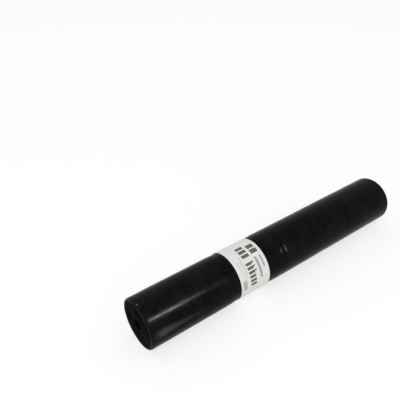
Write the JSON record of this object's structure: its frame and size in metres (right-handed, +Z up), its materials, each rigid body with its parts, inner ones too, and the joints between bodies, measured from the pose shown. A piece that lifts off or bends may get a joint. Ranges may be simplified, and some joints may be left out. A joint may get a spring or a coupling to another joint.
{
  "type": "bin bag roll",
  "caption": "Tightly wound coreless roll of large black film bin bags, lying on its side, with a printed paper band glued round it off centre.",
  "frame": {"origin": "on the surface the roll lies on, under the middle of its length and of its width", "axes": "+X along the roll, from the end nearer the paper band to the other end; +Z up; +Y completes the right-handed frame and points to the side with the free edge of the last bag"},
  "size_m": [0.45, 0.0716, 0.071],
  "materials": {
    "black_film": "satin",
    "band_paper": "matte"
  },
  "bodies": {
    "root": {"wound_bags": "black_film", "paper_band": "band_paper"}
  },
  "joints": []
}
